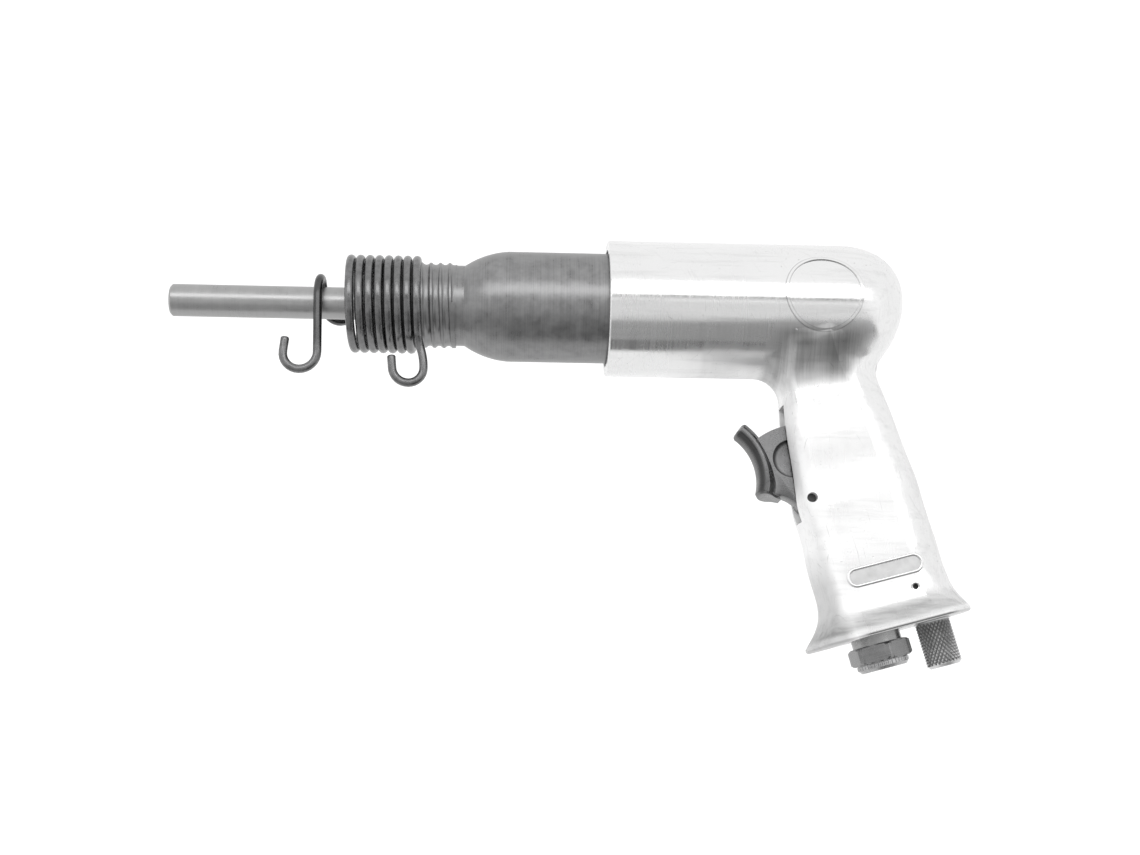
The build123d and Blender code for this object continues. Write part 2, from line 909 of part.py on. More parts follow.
def regulator_knob():
    top = regulator_bore_top - regulator_top_gap
    knob_top = base_station - seat_gap
    end = knob_top - regulator_knob_length
    solid = turned(
        [
            (0, top),
            (regulator_spool_radius, top),
            (regulator_spool_radius, knob_top),
            (regulator_knob_radius, knob_top),
            (regulator_knob_radius, end + regulator_chamfer),
            (regulator_knob_radius - regulator_chamfer, end),
            (0, end),
        ],
        Axis.Z,
    )
    groove_floor = regulator_spool_radius - regulator_groove_depth
    upright = Rot(0, 90, 0)
    outside = 2 * regulator_spool_radius
    solid -= Pos(0, 0, regulator_groove_up) * upright * groove(groove_floor, outside, regulator_groove_width)
    seal_width = 2 * (regulator_seal_wire + slip_fit)
    seal_floor = regulator_ring - regulator_seal_wire
    solid -= Pos(0, 0, regulator_seal_up) * upright * groove(seal_floor, outside, seal_width)
    moon = Pos(-regulator_spool_radius, 0, top)
    solid -= moon * Box(outside, 2 * outside, 2 * regulator_moon_length)
    return at_regulator(solid)


def regulator_seal():
    ring = Torus(regulator_ring, regulator_seal_wire - slip_fit)
    return at_regulator(Pos(0, 0, regulator_seal_up) * ring)


def regulator_pin():
    return grip_frame * regulator_pin_place() * cross_bar(regulator_pin_radius, regulator_pin_length)


pieces = [
    handle_housing,
    barrel,
    retainer_spring,
    rivet_set,
    piston,
    valve_seat,
    valve_case,
    valve_disc,
    valve_dowels,
    valve_gasket,
    trigger,
    trigger_pin,
    throttle_stem,
    throttle_stem_seal,
    throttle_bushing,
    throttle_bushing_seal,
    throttle_ball,
    throttle_spring,
    inlet_bushing,
    inlet_washer,
    inlet_screen,
    regulator_knob,
    regulator_seal,
    regulator_pin,
]

os.makedirs("parts", exist_ok=True)
for piece in pieces:
    export_step(piece(), os.path.join("parts", piece.__name__ + ".step"))
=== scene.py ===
import json
from math import atan2, cos, hypot, pi, radians, sin, sqrt

import bmesh
import bpy
from mathutils import Matrix, Vector


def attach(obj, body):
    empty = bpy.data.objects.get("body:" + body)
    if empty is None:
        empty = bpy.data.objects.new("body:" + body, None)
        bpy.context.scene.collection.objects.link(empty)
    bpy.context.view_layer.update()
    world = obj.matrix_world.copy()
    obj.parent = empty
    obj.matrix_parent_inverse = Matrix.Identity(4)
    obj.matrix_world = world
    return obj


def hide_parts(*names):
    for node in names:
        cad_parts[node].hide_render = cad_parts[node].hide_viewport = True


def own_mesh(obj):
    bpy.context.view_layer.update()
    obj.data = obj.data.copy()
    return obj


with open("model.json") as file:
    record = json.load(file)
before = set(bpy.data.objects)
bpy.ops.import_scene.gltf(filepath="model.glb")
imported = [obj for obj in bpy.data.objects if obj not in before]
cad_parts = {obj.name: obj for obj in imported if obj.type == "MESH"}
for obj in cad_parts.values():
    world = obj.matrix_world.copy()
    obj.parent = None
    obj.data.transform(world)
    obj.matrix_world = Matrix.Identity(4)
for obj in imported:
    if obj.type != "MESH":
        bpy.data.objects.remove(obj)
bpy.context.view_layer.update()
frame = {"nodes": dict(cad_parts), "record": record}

nodes = frame["nodes"]
scene = bpy.context.scene
mm = 0.001
quarter = radians(90)
y_axis = (0, 1, 0)
z_axis = (0, 0, 1)

# Frames of the tool: the bore along X, and the grip that leans back
rake = radians(15)
bore = Matrix.Translation((-80 * mm, 0, 60 * mm))
grip = Matrix.Rotation(-rake, 4, "Y")

# The same lean as a turn for patterns, and no turn at all
lean = (0, rake, 0)
straight = (0, 0, 0)


# Small helpers for meshes
def verts_of(geom):
    """The vertices among some geometry."""
    return [part for part in geom if isinstance(part, bmesh.types.BMVert)]


def edges_of(geom):
    """The edges among some geometry."""
    return [part for part in geom if isinstance(part, bmesh.types.BMEdge)]


def place_of(point):
    """A point of the XZ plane, given in millimetres."""
    return Vector((point[0], 0, point[1])) * mm


def added_object(name, bm):
    """Put a bmesh into the scene as an object of its own."""
    mesh = bpy.data.meshes.new(name)
    bm.to_mesh(mesh)
    bm.free()
    piece = bpy.data.objects.new(name, mesh)
    scene.collection.objects.link(piece)
    return piece


def finished_piece(name, bm, body, slot, place, replaced=(), smooth_angle=35, finish=None):
    """Turn a bmesh into a piece that rides on a body of the tool."""
    bmesh.ops.transform(bm, matrix=place, verts=bm.verts)
    piece = added_object(name, bm)
    piece.data.shade_smooth()
    piece.data.set_sharp_from_angle(angle=radians(smooth_angle))
    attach(piece, body)
    if replaced:
        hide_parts(*replaced)
    piece.data.materials.append(finishes[finish or slot])
    return piece


def sealed(bm, gap=1e-6):
    """Merge what meets and turn all faces outwards."""
    bmesh.ops.remove_doubles(bm, verts=bm.verts, dist=gap)
    bmesh.ops.recalc_face_normals(bm, faces=bm.faces)


def swept(bm, geom, centre, axis, angle, steps):
    """Spin geometry about an axis; gives the geometry at the end."""
    return bmesh.ops.spin(
        bm, geom=geom, cent=centre, axis=axis, angle=angle, steps=steps
    )["geom_last"]


def lathe(points, steps, closed=False):
    """Spin an outline of the XZ plane, in millimetres, once round the Z axis."""
    bm = bmesh.new()
    verts = [bm.verts.new(place_of(point)) for point in points]
    pairs = list(zip(verts, verts[1:]))
    if closed:
        pairs.append((verts[-1], verts[0]))
    edges = [bm.edges.new(pair) for pair in pairs]
    bmesh.ops.spin(
        bm,
        geom=edges + list(bm.verts),
        cent=(0, 0, 0),
        axis=z_axis,
        angle=2 * pi,
        steps=steps,
        use_merge=True,
    )
    sealed(bm, 1e-7)
    return bm


def grown_ring(bm, ring):
    """Extrude a ring of edges where it is; gives the new ring and its vertices."""
    made = bmesh.ops.extrude_edge_only(bm, edges=ring)["geom"]
    ends = verts_of(made)
    return [edge for edge in edges_of(made) if all(vert in ends for vert in edge.verts)], ends


def capped(bm, ring, way, steps, keep_x=False):
    """Close a ring with a rounded end, in steps of how far on and at what size."""
    for reach, size in steps:
        ring, ends = grown_ring(bm, ring)
        bmesh.ops.translate(bm, verts=ends, vec=way * reach * mm)
        middle = sum((vert.co for vert in ends), Vector()) / len(ends)
        sizes = (1.0 if keep_x else size, size, size)
        bmesh.ops.scale(bm, verts=ends, vec=sizes, space=Matrix.Translation(-middle))
    bmesh.ops.contextual_create(bm, geom=ring)


def arc_centre(first, middle, last):
    """Centre of the circle through three points of a plane."""
    (ax, az), (bx, bz), (cx, cz) = first, middle, last
    twice = 2 * (ax * (bz - cz) + bx * (cz - az) + cx * (az - bz))
    a, b, c = ax**2 + az**2, bx**2 + bz**2, cx**2 + cz**2
    x = (a * (bz - cz) + b * (cz - az) + c * (az - bz)) / twice
    z = (a * (cx - bx) + b * (ax - cx) + c * (bx - ax)) / twice
    return x, z


def arc_turn(centre, first, last):
    """Angle about the Y axis from one point to another, the short way."""
    start = atan2(first[1] - centre[1], first[0] - centre[0])
    end = atan2(last[1] - centre[1], last[0] - centre[0])
    return -((end - start + pi) % (2 * pi) - pi)


# Trigger, in millimetres: its pin on the grip, and from there the arc of its bar and its dishes
pin_place = (-17.6, 2.5)
bar_low, bar_middle, bar_high = (-13.75, 7.2), (-11.8, 14.6), (-16.0, 26.2)
bar_centre = arc_centre(bar_low, bar_middle, bar_high)
bar_radius = hypot(bar_low[0] - bar_centre[0], bar_low[1] - bar_centre[1])
dish_place = (-0.7, 14.5)
dish_radius = 5.95


# Small helpers for finishes
def start_finish(name, colour, metallic, roughness):
    """A new material with its main shader set."""
    material = bpy.data.materials.new(name)
    material.use_nodes = True
    tree = material.node_tree
    shader = tree.nodes["Principled BSDF"]
    shader.inputs["Base Color"].default_value = (*colour, 1)
    shader.inputs["Metallic"].default_value = metallic
    shader.inputs["Roughness"].default_value = roughness
    return material, tree, shader


def times(colour, share):
    """A colour times a share, no brighter than white."""
    return tuple(min(1.0, share * part) for part in colour)


def stretched(tree, scale=(1, 1, 1), turn=straight):
    """Object coordinates, turned and then stretched for a pattern."""
    place = tree.nodes.new("ShaderNodeTexCoord")
    turned = tree.nodes.new("ShaderNodeMapping")
    turned.inputs["Rotation"].default_value = turn
    sized = tree.nodes.new("ShaderNodeMapping")
    sized.inputs["Scale"].default_value = scale
    tree.links.new(place.outputs["Object"], turned.inputs["Vector"])
    tree.links.new(turned.outputs["Vector"], sized.inputs["Vector"])
    return sized.outputs["Vector"]


def noise(tree, scale, detail=2.0, rough=0.5, turn=straight):
    """Grain of one scale, or of three along the axes; its value runs about 0.5."""
    grain = tree.nodes.new("ShaderNodeTexNoise")
    grain.inputs["Scale"].default_value = 1.0
    grain.inputs["Detail"].default_value = detail
    grain.inputs["Roughness"].default_value = rough
    scales = scale if isinstance(scale, tuple) else (scale, scale, scale)
    tree.links.new(stretched(tree, scales, turn), grain.inputs["Vector"])
    return grain.outputs["Fac"]


def ranged(tree, value, low, high, out_low=0, out_high=1):
    """Map a value's range onto another one, held at both ends."""
    span = tree.nodes.new("ShaderNodeMapRange")
    span.inputs["From Min"].default_value = low
    span.inputs["From Max"].default_value = high
    span.inputs["To Min"].default_value = out_low
    span.inputs["To Max"].default_value = out_high
    tree.links.new(value, span.inputs["Value"])
    return span.outputs["Result"]


def weighed(tree, mask, amount):
    """A 0 to 1 mask turned into 0 to an amount."""
    return ranged(tree, mask, 0, 1, 0, amount)


def joined(tree, way, first, *others):
    """Values put together one after the other by a way of calculating."""
    for other in others:
        sums = tree.nodes.new("ShaderNodeMath")
        sums.operation = way
        tree.links.new(first, sums.inputs[0])
        tree.links.new(other, sums.inputs[1])
        first = sums.outputs["Value"]
    return first


def total(tree, *values):
    """Values added."""
    return joined(tree, "ADD", *values)


def product(tree, *values):
    """Values multiplied."""
    return joined(tree, "MULTIPLY", *values)


def most(tree, *values):
    """The largest of some values."""
    return joined(tree, "MAXIMUM", *values)


def tinted(tree, shader, value, dark, light):
    """Colour the surface between two greys by a value."""
    tint = tree.nodes.new("ShaderNodeMix")
    tint.data_type = "RGBA"
    tint.inputs["A"].default_value = (*dark, 1)
    tint.inputs["B"].default_value = (*light, 1)
    tree.links.new(value, tint.inputs["Factor"])
    tree.links.new(tint.outputs["Result"], shader.inputs["Base Color"])


def faded(tree, shader, place, start, end, share):
    """Multiply the surface's tint by a share on one side of a place."""
    tint = shader.inputs["Base Color"].links[0].from_socket
    sized = tree.nodes.new("ShaderNodeVectorMath")
    sized.operation = "SCALE"
    tree.links.new(tint, sized.inputs[0])
    tree.links.new(ranged(tree, place, start, end, 1, share), sized.inputs["Scale"])
    tree.links.new(sized.outputs["Vector"], shader.inputs["Base Color"])


def bumped(tree, shader, height, distance):
    """Raise the surface by a height value."""
    bump = tree.nodes.new("ShaderNodeBump")
    bump.inputs["Distance"].default_value = distance
    bump.inputs["Strength"].default_value = 1.0
    tree.links.new(height, bump.inputs["Height"])
    tree.links.new(bump.outputs["Normal"], shader.inputs["Normal"])


def scratches(tree, turn, reach, width, level):
    """Fine straight scratches that run one way, as a 0 to 1 mask."""
    lines = noise(tree, (1 / reach, 1 / width, 1 / reach), 1.0, turn=turn)
    return ranged(tree, lines, level, level + 0.04)


def parts_of(tree, turn=straight):
    """The three Object coordinates, turned."""
    split = tree.nodes.new("ShaderNodeSeparateXYZ")
    tree.links.new(stretched(tree, turn=turn), split.inputs["Vector"])
    return split.outputs


def patch(tree, value, start, full, last, end):
    """1 between two places of a coordinate, fading to 0 on both sides."""
    return product(tree, ranged(tree, value, start, full), ranged(tree, value, last, end, 1, 0))


def reach_from(tree, centre, turn=straight):
    """Distance from a line along Y."""
    gap = tree.nodes.new("ShaderNodeVectorMath")
    gap.operation = "DISTANCE"
    gap.inputs[1].default_value = centre
    tree.links.new(stretched(tree, (1, 0, 1), turn), gap.inputs[0])
    return gap.outputs["Value"]


# Where the casting looks different, in metres. Two numbers are the ends of one fade. Four numbers
# are where a patch starts, is full, is full for the last time and ends
# Along and up the leaning grip
front_edge, front_top = (-0.0175, -0.0135), (0.030, 0.036)
# Painted shade at the lower front corner of the grip
corner_shade_edge, corner_shade_top = (-0.0175, -0.0210), (-0.012, -0.024)
# Painted shade on the flare above the base
flare_shade_band = (-0.0330, -0.0380, -0.0392, -0.0402)
# Painted shade under the base
underside_shade_edge = (-0.0411, -0.0416)
# Along the bore, and up from the middle of the grip
# Where the grip meets the sleeve: duller, and its tint darkened as painted shade
neck_start, neck_height = (-0.032, -0.026), (0.031, 0.038, 0.048, 0.053)
neck_rear, neck_slant, neck_shift = (-0.002, 0.002), (0.036, 0.049), (0.005, -0.001)
# Two nooks beside the junction of grip and sleeve, darkened by painted shade
rear_nook_shade, rear_nook_shade_height = (-0.0160, -0.0095, -0.0075, -0.0035), (0.0320, 0.0410, 0.0460, 0.0495)
front_nook_shade, front_nook_shade_height = (-0.0245, -0.0225, -0.0190, -0.0150), (0.0430, 0.0455, 0.0480, 0.0500)
belly, belly_top = (-0.066, -0.046, -0.030, -0.024), (0.041, 0.046)
# Two circles of painted shade round the label pad
pad_centre = (-0.014, 0, 0.0606)
inner_rim_shade, outer_rim_shade = (0.0110, 0.0112, 0.0112, 0.0114), (0.0120, 0.0122, 0.0122, 0.0124)


def polished_casting(name, colour):
    """Polished cast metal: buffing lines, scratches and pits, duller where the buff does not reach. Painted
    shade darkens the junction of grip and sleeve, two nooks beside it, the flare, the lower front corner, two
    circles round the label pad and the underside of the base.
    """
    material, tree, shader = start_finish(name, colour, 1.0, 0.16)
    shader.inputs["Anisotropic"].default_value = 0.85
    shader.inputs["Anisotropic Rotation"].default_value = 0.25
    tangent = tree.nodes.new("ShaderNodeTangent")
    tangent.direction_type = "RADIAL"
    tangent.axis = "X"
    tree.links.new(tangent.outputs["Tangent"], shader.inputs["Tangent"])

    # Grain of the surface
    cloud = noise(tree, 70, 3.0)
    buffed = noise(tree, (1500, 40, 40), 3.0, 0.6)
    brushed = noise(tree, (7000, 90, 90), 1.0)
    grain = noise(tree, 1500, 3.0)
    streaks = noise(tree, (35, 420, 420), 3.0, 0.6)
    pits = ranged(tree, noise(tree, 1900, 0.0), 0.8, 0.85)
    marks = most(
        tree,
        scratches(tree, (0.3, 0.5, 0.9), 0.012, 0.00016, 0.72),
        scratches(tree, (1.1, 0.2, 2.1), 0.009, 0.00014, 0.74),
        scratches(tree, (0.2, 1.9, 0.4), 0.009, 0.00014, 0.74),
    )

    # Masks of places, along and up the grip, and then ahead along the bore and above it
    along, _, up = parts_of(tree, lean)
    front = product(tree, ranged(tree, along, *front_edge, 1, 0), ranged(tree, up, *front_top, 1, 0))
    # Painted shade at the lower front corner of the grip
    corner = product(tree, ranged(tree, along, *corner_shade_edge), ranged(tree, up, *corner_shade_top))
    # Painted shade on the flare, broken up by streaks
    foot = product(tree, patch(tree, up, *flare_shade_band), ranged(tree, streaks, 0.35, 0.65, 0.5, 1))
    ahead, _, above = parts_of(tree)
    neck_end = total(tree, ahead, ranged(tree, above, *neck_slant, *neck_shift))
    # Painted shade where the grip meets the sleeve, which is also duller there
    dull_neck_and_shade = product(
        tree,
        ranged(tree, ahead, *neck_start),
        ranged(tree, neck_end, *neck_rear, 1, 0),
        patch(tree, above, *neck_height),
        ranged(tree, buffed, 0.3, 0.6, 0.7, 1),
    )
    # Painted shade: behind holds the rear nook, before the front one
    behind = product(tree, patch(tree, ahead, *rear_nook_shade), patch(tree, above, *rear_nook_shade_height))
    before = product(tree, patch(tree, ahead, *front_nook_shade), patch(tree, above, *front_nook_shade_height))
    under = product(tree, patch(tree, ahead, *belly), ranged(tree, above, *belly_top, 1, 0))
    # Two circles of painted shade round the label pad
    rim = reach_from(tree, pad_centre)
    painted_rim_shade = total(tree, patch(tree, rim, *inner_rim_shade), patch(tree, rim, *outer_rim_shade))

    dull = total(
        tree,
        ranged(tree, cloud, 0.35, 0.7, 0.2, 0.26),
        ranged(tree, buffed, 0.35, 0.7, -0.03, 0.06),
        weighed(tree, dull_neck_and_shade, 0.28),
        weighed(tree, under, 0.3),
        weighed(tree, marks, 0.12),
        weighed(tree, front, 0.36),
    )
    tree.links.new(dull, shader.inputs["Roughness"])
    tree.links.new(ranged(tree, front, 0, 1, 1, 0.3), shader.inputs["Metallic"])
    shade = total(
        tree,
        most(tree, marks, pits),
        ranged(tree, cloud, 0.3, 0.75, 0, 0.12),
        ranged(tree, streaks, 0.5, 0.75, 0, 0.36),
    )
    tinted(tree, shader, ranged(tree, shade, 0, 1), colour, times(colour, 0.72))
    # Painted shade: each of these places darkens the tint by its share
    shares = ((dull_neck_and_shade, 0.6), (behind, 0.55), (before, 0.6), (foot, 0.6), (corner, 0.66), (painted_rim_shade, 0.6))
    for place, share in shares:
        faded(tree, shader, place, 0, 1, share)
    # Painted shade under the base
    faded(tree, shader, up, *underside_shade_edge, 0.75)
    height = total(
        tree,
        weighed(tree, cloud, 0.4),
        weighed(tree, grain, 0.05),
        weighed(tree, marks, -0.06),
        weighed(tree, pits, -0.3),
        weighed(tree, brushed, 0.02),
    )
    bumped(tree, shader, height, 0.06 * mm)
    return material


bore_axis, cross_axis, grip_axis = 0, 1, 2


def turned_metal(name, colour, roughness, axis, turn=straight, depth=0.012, wear=0.25, stretch=None):
    """Turned or ground metal: tool lines round its axis, handling marks and uneven gloss.

    The depth of the lines is in millimetres. A stretch is a place along the axis, from
    where to where in metres, past which the tint fades to another share of itself.
    """
    material, tree, shader = start_finish(name, colour, 1.0, roughness)
    fine = tuple(5200 if part == axis else 30 for part in range(3))
    wide = tuple(900 if part == axis else 60 for part in range(3))
    lines = noise(tree, fine, 3.0, 0.65, turn)
    bands = noise(tree, wide, 2.0, turn=turn)
    smear = noise(tree, 260, 4.0, 0.6, turn)
    gloss = total(
        tree,
        ranged(tree, lines, 0.3, 0.7, -0.06, 0.06),
        ranged(tree, smear, 0.3, 0.7, -0.05, 0.07),
        ranged(tree, bands, 0, 1, roughness - 0.02, roughness + 0.02),
    )
    tree.links.new(gloss, shader.inputs["Roughness"])
    shade = total(tree, ranged(tree, smear, 0.25, 0.75, 0, 0.6), ranged(tree, lines, 0.3, 0.7, 0, 0.4))
    tinted(tree, shader, shade, times(colour, 1 - wear), times(colour, 1 + wear))
    if stretch:
        faded(tree, shader, parts_of(tree, turn)[axis], *stretch)
    bumped(tree, shader, total(tree, lines, weighed(tree, bands, 0.5)), depth * mm)
    return material


def satin_casting(name, colour, roughness):
    """A dull casting: fine grain, soft tumbled marks and slightly brighter wear."""
    material, tree, shader = start_finish(name, colour, 1.0, roughness)
    grain = noise(tree, 2600, 4.0, 0.6)
    smear = noise(tree, 320, 3.0)
    marks = scratches(tree, (0.4, 0.8, 0.2), 0.006, 0.00012, 0.7)
    gloss = total(
        tree,
        ranged(tree, smear, 0.3, 0.7, roughness - 0.05, roughness + 0.06),
        ranged(tree, grain, 0.3, 0.7, -0.04, 0.05),
    )
    tree.links.new(gloss, shader.inputs["Roughness"])
    shade = total(tree, ranged(tree, smear, 0.25, 0.75, 0.1, 0.7), weighed(tree, marks, 0.3))
    tinted(tree, shader, shade, times(colour, 0.8), times(colour, 1.2))
    bumped(tree, shader, total(tree, grain, weighed(tree, marks, -0.4)), 0.03 * mm)
    return material


def from_pin(point):
    """A point of the trigger at rest, in metres along the leaning grip."""
    return (pin_place[0] + point[0]) * mm, 0, (pin_place[1] + point[1]) * mm


def behind_front(*depths):
    """Distances from the centre of the bar's arc, from depths in millimetres behind its front."""
    return [(bar_radius + depth) * mm for depth in depths]


def trigger_casting(name, colour, roughness):
    """The trigger's casting: a dark bar with a painted highlight along its middle and painted shade along its
    front and back, and a painted shadow at the top of each dish.
    """
    material = satin_casting(name, colour, roughness)
    tree = material.node_tree
    shader = tree.nodes["Principled BSDF"]
    # Painted shadow on the upper part of each dish's floor
    floor_place, floor_edge = (-0.3, 14.1), (0.0050, 0.0058)
    wall_edge = (0.0059, 0.0061)
    inside = ranged(tree, reach_from(tree, from_pin(dish_place), lean), *wall_edge, 1, 0)
    shadow = ranged(tree, reach_from(tree, from_pin(floor_place), lean), *floor_edge)
    faded(tree, shader, product(tree, inside, shadow), 0, 1, 0.2)
    depth = reach_from(tree, from_pin(bar_centre), lean)
    up = parts_of(tree, lean)[grip_axis]
    # A painted highlight along the middle of the bar, strongest towards its top
    glint_height = (0.012, 0.020)
    painted_glint = product(
        tree,
        patch(tree, depth, *behind_front(1.18, 1.68, 2.28, 2.78)),
        ranged(tree, up, *glint_height, 0.25, 1),
    )
    # Painted shade along the back and the front of the bar
    faded(tree, shader, depth, *behind_front(2.88, 2.38), 0.5)
    faded(tree, shader, depth, *behind_front(1.28, 0.38), 0.45)
    faded(tree, shader, painted_glint, 0, 1, 3.4)
    return material


def knurled_metal(name, colour, roughness):
    """Turned metal with painted shade in the grooves between the crests of a knurl."""
    material = turned_metal(name, colour, roughness, grip_axis, lean)
    tree = material.node_tree
    crest = tree.nodes.new("ShaderNodeAttribute")
    crest.attribute_name = "crest"
    # Painted shade in the grooves of the knurl
    faded(tree, tree.nodes["Principled BSDF"], crest.outputs["Fac"], 0.8, 0.1, 0.45)
    return material


def drawn_wire(name, colour, roughness):
    """Drawn and oil hardened wire: dark and half gloss, with painted shade on the leg of the front hook."""
    material, tree, shader = start_finish(name, colour, 1.0, roughness)
    smear = noise(tree, 420, 4.0, 0.6)
    grain = noise(tree, 3000, 2.0)
    gloss = total(
        tree,
        ranged(tree, smear, 0.3, 0.7, roughness - 0.07, roughness + 0.08),
        ranged(tree, grain, 0.3, 0.7, -0.03, 0.03),
    )
    tree.links.new(gloss, shader.inputs["Roughness"])
    tinted(tree, shader, ranged(tree, smear, 0.25, 0.75), times(colour, 0.72), times(colour, 1.3))
    # Painted shade on the leg of the front hook
    shaded_leg_run, shaded_leg_height = (-0.1736, -0.1720, -0.1680, -0.1650), (0.041, 0.046)
    ahead, _, above = parts_of(tree)
    leg = product(tree, patch(tree, ahead, *shaded_leg_run), ranged(tree, above, *shaded_leg_height))
    faded(tree, shader, leg, 0, 1, 0.45)
    bumped(tree, shader, grain, 0.01 * mm)
    return material


def matt_rubber(name, colour):
    """Matt seal rubber with a fine mould grain and a dusty bloom."""
    material, tree, shader = start_finish(name, colour, 0.0, 0.62)
    grain = noise(tree, 2400, 3.0)
    bloom = noise(tree, 300, 3.0)
    tree.links.new(ranged(tree, bloom, 0.3, 0.7, 0.52, 0.72), shader.inputs["Roughness"])
    tinted(tree, shader, ranged(tree, bloom, 0.3, 0.75), colour, times(colour, 2.2))
    bumped(tree, shader, grain, 0.02 * mm)
    return material


# Finishes, by material slot. Painted shade darkens the barrel ahead of its thread, under the coil, and the
# fitting brightens at its ring
coil_shade_start = (-0.1385, -0.1405, 0.2)
ring_start = (-0.0498, -0.0502, 1.8)
finishes = {
    "cast_aluminium": polished_casting("polished_casting", (0.92, 0.92, 0.92)),
    "blackened_steel": turned_metal(
        "barrel_steel", (0.28, 0.28, 0.282), 0.34, bore_axis, depth=0.008, wear=0.34, stretch=coil_shade_start
    ),
    "spring_steel": drawn_wire("retainer_wire_steel", (0.21, 0.21, 0.212), 0.27),
    "set_steel": turned_metal("set_steel", (0.42, 0.42, 0.42), 0.34, bore_axis, depth=0.008, wear=0.15),
    "ground_steel": turned_metal("ground_steel", (0.62, 0.62, 0.63), 0.22, bore_axis, wear=0.12),
    "trigger_steel": trigger_casting("trigger_casting", (0.2, 0.2, 0.202), 0.28),
    "pin_steel": turned_metal("pin_steel", (0.06, 0.06, 0.06), 0.4, cross_axis),
    "bushing_brass": turned_metal("bushing_brass", (0.75, 0.58, 0.3), 0.28, bore_axis, lean, wear=0.12),
    "fitting_steel": turned_metal(
        "fitting_steel", (0.27, 0.27, 0.272), 0.26, grip_axis, lean, stretch=ring_start
    ),
    "bright_steel": turned_metal("bright_steel", (0.38, 0.38, 0.38), 0.26, grip_axis, lean, wear=0.1),
    "knob_steel": knurled_metal("knob_steel", (0.74, 0.74, 0.742), 0.36),
    "cast_ground": satin_casting("cast_ground", (0.65, 0.65, 0.65), 0.42),
    "seal_rubber": matt_rubber("seal_rubber", (0.02, 0.02, 0.02)),
}
for part in frame["record"]["subparts"]:
    node = nodes[part["node"]]
    node.data.materials.clear()
    node.data.materials.append(finishes[part["material_slot"]])


# Wire: drawn on from a ring of edges, straight or along arcs
arc_step = 1.1 * mm


def wire_start(bm, start, way, radius, segments):
    """The wire's first ring, square to the way that it leaves."""
    turn = way.to_track_quat("Z", "Y").to_matrix().to_4x4()
    bmesh.ops.create_circle(
        bm,
        cap_ends=False,
        segments=segments,
        radius=radius * mm,
        matrix=Matrix.Translation(start) @ turn,
    )
    return list(bm.edges)


def draw_straight(bm, ring, reach, steps=6):
    """Pull the wire's end straight on."""
    for _ in range(steps):
        ring, ends = grown_ring(bm, ring)
        bmesh.ops.translate(bm, verts=ends, vec=reach / steps)
    return ring


def draw_arc(bm, ring, start, way, end):
    """Pull the wire's end round the arc that leaves start along a way and reaches end."""
    span = end - start
    inward = (span - way * span.dot(way)).normalized()
    radius = span.dot(span) / (2 * span.dot(inward))
    angle = 2 * atan2(span.dot(inward), span.dot(way))
    axis = way.cross(inward)
    steps = max(8, round(radius * angle / arc_step))
    made = swept(bm, ring, start + inward * radius, axis, angle, steps)
    return edges_of(made), Matrix.Rotation(angle, 3, axis) @ way


def draw_arc_pair(bm, ring, start, start_way, end, end_way):
    """Two tangent arcs from start to end."""
    span = end - start
    turn = 2 * (1 - start_way.dot(end_way))
    along = span.dot(start_way + end_way)
    reach = span.dot(span) / (sqrt(along**2 + turn * span.dot(span)) + along)
    middle = (start + start_way * reach + end - end_way * reach) / 2
    ring, way = draw_arc(bm, ring, start, start_way, middle)
    ring, way = draw_arc(bm, ring, middle, way, end)
    return ring


def coil_point(turn, front, pitch, radius):
    """Where a coil along X is after some turns."""
    angle = 2 * pi * turn
    return Vector((front + pitch * turn, -radius * sin(angle), radius * cos(angle))) * mm


def coil_way(turn, pitch, radius):
    """Which way a coil along X runs after some turns."""
    angle = 2 * pi * turn
    round_once = 2 * pi * radius
    return Vector((pitch, -round_once * cos(angle), -round_once * sin(angle))).normalized()


def draw_coil(bm, ring, first, last, front, pitch, radius):
    """Wind the wire's end on from one turn to another, half a turn at a time."""
    here = first
    while here < last - 0.01:
        there = min(here + 0.5, last)
        ends = [coil_point(turn, front, pitch, radius) for turn in (here, there)]
        ways = [coil_way(turn, pitch, radius) for turn in (here, there)]
        ring = draw_arc_pair(bm, ring, ends[0], ways[0], ends[1], ways[1])
        here = there
    return ring


# Wire retainer: one wire through hook, loop, coil and hook
wire_radius = 1.34
wire_sides = 20
wire_end = ((0.28, 0.9), (0.2, 0.72), (0.1, 0.6))
coil_front, coil_pitch, coil_radius = -81.0, 2.96, 14.2
coil_first_turn, coil_last_turn = -0.22, 7.4
loop_x = coil_front - 9.5
loop_radius = 7.9
loop_exit = radians(18)
front_hook_radius, front_hook_lead, front_hook_depth = 5.25, 0.6, -18.1
front_tip_rise = (0.41, 0, 4.1)
rear_hook_radius, rear_hook_lead, rear_hook_depth = 4.85, 2.85, -22.35
rear_hook_side = 2.45
rear_tip_rise = (-0.36, 0, 3.6)


